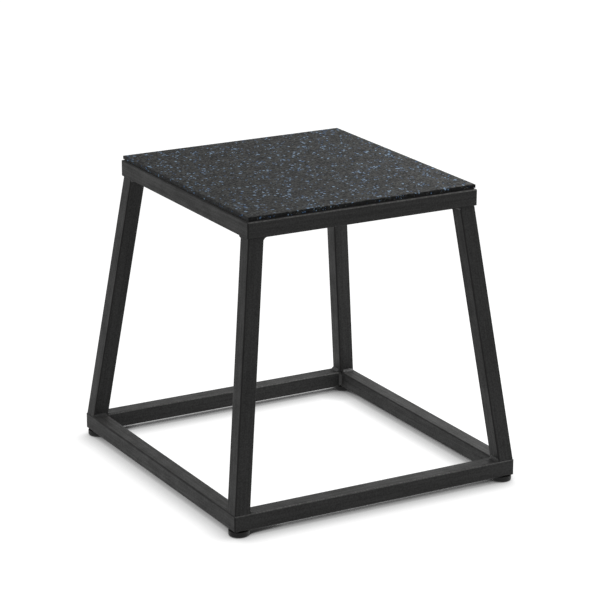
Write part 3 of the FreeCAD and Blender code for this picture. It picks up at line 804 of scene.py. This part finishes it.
# %% [markdown]
# ## One weld bead
# A welder lays metal in a corner as a row of overlapping drops, and each drop freezes as a crescent. The
# bead's face sinks in a little between its two toes. A block is cut to that section with a bevel whose
# profile curves inwards, divided along its length, and every second ring is raised for the ripples. It is
# modelled once, upright in the corner of the X and Y planes, and then copied to every seam.

# %% Model a weld bead
BEAD_SIZE = 6 * MM
BEAD_LENGTH = 24 * MM
BEAD_TOE = 0.35 * MM
BEAD_ROOT = 0.9 * MM
BEAD_HOLLOW = 0.13
BEAD_STEPS = 6
RIPPLE_PITCH = 3.0 * MM
RIPPLE_HEIGHT = 0.7 * MM
CRESCENT = 1.1 * MM
BEAD_END = 0.55

bpy.ops.object.select_all(action="DESELECT")
block = BEAD_SIZE + BEAD_ROOT
bpy.ops.mesh.primitive_cube_add(size=1, location=[(BEAD_SIZE - BEAD_ROOT) / 2] * 2 + [0])
bead = bpy.context.object
bead.name = "weld_bead"
bead.scale = (block, block, BEAD_LENGTH)
bpy.ops.object.transform_apply(location=True, rotation=True, scale=True)
bpy.ops.object.mode_set(mode="EDIT")


def outer_edge(edge):
    """True for the long edge away from both faces of the corner."""
    return all(min(point.co.x, point.co.y) > BEAD_SIZE - NEAR for point in edge.verts)


pick("EDGE", outer_edge)
bpy.ops.mesh.bevel(
    offset=BEAD_SIZE - BEAD_TOE, segments=BEAD_STEPS, profile=BEAD_HOLLOW, affect="EDGES"
)
half_pitches = round(BEAD_LENGTH / RIPPLE_PITCH) * 2
pick("EDGE", lambda edge: abs(edge_run(edge).z) > BEAD_LENGTH / 2)
bpy.ops.mesh.subdivide(number_cuts=half_pitches - 1)
ring_gap = BEAD_LENGTH / half_pitches


def ring_of(point):
    return round((point.co.z + BEAD_LENGTH / 2) / ring_gap)


def on_face(point):
    """True for the points of the bead's open face, toes left out."""
    return min(point.co.x, point.co.y) > BEAD_TOE + NEAR


raised = pick("VERT", lambda point: on_face(point) and ring_of(point) % 2 == 1)
ripple = RIPPLE_HEIGHT / math.sqrt(2)
bpy.ops.transform.translate(value=(ripple, ripple, 0))
print("bead:", half_pitches // 2, "ripples,", raised, "points raised")

# %% [markdown]
# The ripples are bent into crescents by sliding the middle of the face along the bead, and the two ends
# are drawn in towards the corner, where the welder started and stopped. A subdivision then rounds it all.

# %% Finish the bead
def middle_share(point):
    """1 halfway between the toes and 0 at them."""
    across = (point.co.x - point.co.y) / (BEAD_SIZE - BEAD_TOE)
    return 1 - min(1, abs(across)) ** 2


for tenth in range(2, 11, 2):
    band = (tenth / 10 - 0.2, tenth / 10)
    pick("VERT", lambda point: on_face(point) and band[0] < middle_share(point) <= band[1])
    bpy.ops.transform.translate(value=(0, 0, CRESCENT * tenth / 10))
for end in (-1, 1):
    pick("VERT", lambda point: end * point.co.z > BEAD_LENGTH / 2 - NEAR)
    bpy.ops.transform.resize(value=(BEAD_END, BEAD_END, 1), center_override=(0, 0, 0))
bpy.ops.mesh.select_all(action="SELECT")
bpy.ops.mesh.normals_make_consistent(inside=False)
bpy.ops.object.mode_set(mode="OBJECT")
rounding = bead.modifiers.new("rounding", "SUBSURF")
rounding.levels = 1
rounding.render_levels = 1
start_alone(bead)
bpy.ops.object.modifier_apply(modifier=rounding.name)
print("bead:", len(bead.data.polygons), "faces")

# %% [markdown]
# ## Lay the beads
# The solids already hold a plain three-sided bar for every weld. A merged copy of those bars is split into
# its separate bars, and each bar tells where a bead goes: its root line in the corner, and the toes on the
# two faces. The bead is stretched over these three, so it also fits the leaning legs.

# %% Lay beads over the bars
CORNER_REACH = 0.3


def bars_of(node):
    """The corner points of each separate bar in a weld node."""
    copy = frame["nodes"][node].copy()
    copy.data = copy.data.copy()
    copy.parent = None
    scene.collection.objects.link(copy)
    start_alone(copy)
    bpy.ops.object.mode_set(mode="EDIT")
    bpy.ops.mesh.select_all(action="SELECT")
    bpy.ops.mesh.remove_doubles(threshold=NEAR)
    bpy.ops.mesh.separate(type="LOOSE")
    bpy.ops.object.mode_set(mode="OBJECT")
    parts = list(bpy.context.selected_objects)
    bars = [[point.co.copy() for point in part.data.vertices] for part in parts]
    for part in parts:
        bpy.data.objects.remove(part)
    return bars


def bead_frame(points):
    """The matrix that lays the model bead over one bar."""
    lowest = Vector([min(point[axis] for point in points) for axis in range(3)])
    highest = Vector([max(point[axis] for point in points) for axis in range(3)])
    extent = highest - lowest
    along = max(range(3), key=lambda axis: extent[axis])
    first, second = [axis for axis in range(3) if axis != along]

    def gathered(at_first, at_second):
        """The points of the bar that are nearest to one corner of its section."""
        corner = {first: (lowest, highest)[at_first][first], second: (lowest, highest)[at_second][second]}
        reach = CORNER_REACH * min(extent[first], extent[second])
        return [p for p in points if max(abs(p[axis] - corner[axis]) for axis in corner) < reach]

    corners = {(i, j): gathered(i, j) for i in (0, 1) for j in (0, 1)}
    open_corner = min(corners, key=lambda key: len(corners[key]))
    root_corner = (1 - open_corner[0], 1 - open_corner[1])

    def centre(key):
        found = corners[key]
        point = sum(found, Vector()) / len(found)
        point[along] = (lowest[along] + highest[along]) / 2
        return point

    root = centre(root_corner)
    toe_first = (centre((open_corner[0], root_corner[1])) - root) / BEAD_SIZE
    toe_second = (centre((root_corner[0], open_corner[1])) - root) / BEAD_SIZE
    run = Vector([extent[along] / BEAD_LENGTH if axis == along else 0.0 for axis in range(3)])
    if toe_first.cross(toe_second).dot(run) < 0:
        run = -run
    matrix = Matrix((toe_first, toe_second, run)).transposed().to_4x4()
    matrix.translation = root
    return matrix


WELD_PIECES = {
    "leg_head_welds": "leg_head_weld_beads",
    "leg_base_welds": "leg_base_weld_beads",
    "base_corner_welds": "base_corner_weld_beads",
    "top_corner_welds": "top_corner_weld_beads",
    "deck_bar_welds": "deck_bar_weld_beads",
    "deck_welds": "deck_weld_beads",
}
WELD_LUMP = 4 * MM
WELD_UNEVEN = 0.8 * MM
WELD_SMOOTH = math.radians(60)
weld_lumps = lumps("weld_lumps", WELD_LUMP)
for node, name in WELD_PIECES.items():
    copies = []
    for bar in bars_of(node):
        copy = bead.copy()
        copy.data = bead.data.copy()
        copy.data.transform(bead_frame(bar))
        scene.collection.objects.link(copy)
        copies.append(copy)
    bpy.ops.object.select_all(action="DESELECT")
    for copy in copies:
        copy.select_set(True)
    bpy.context.view_layer.objects.active = copies[0]
    bpy.ops.object.join()
    piece = bpy.context.object
    piece.name = name
    whole = piece.vertex_groups.new(name="whole")
    whole.add(range(len(piece.data.vertices)), 1.0, "REPLACE")
    displace(piece, "whole", weld_lumps, WELD_UNEVEN)
    bpy.ops.object.shade_smooth_by_angle(angle=WELD_SMOOTH)
    piece.data.materials.append(weld_coat)
    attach(piece, "root")
    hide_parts(node)
    print(name, len(copies), "beads,", len(piece.data.polygons), "faces")
bpy.data.objects.remove(bead)
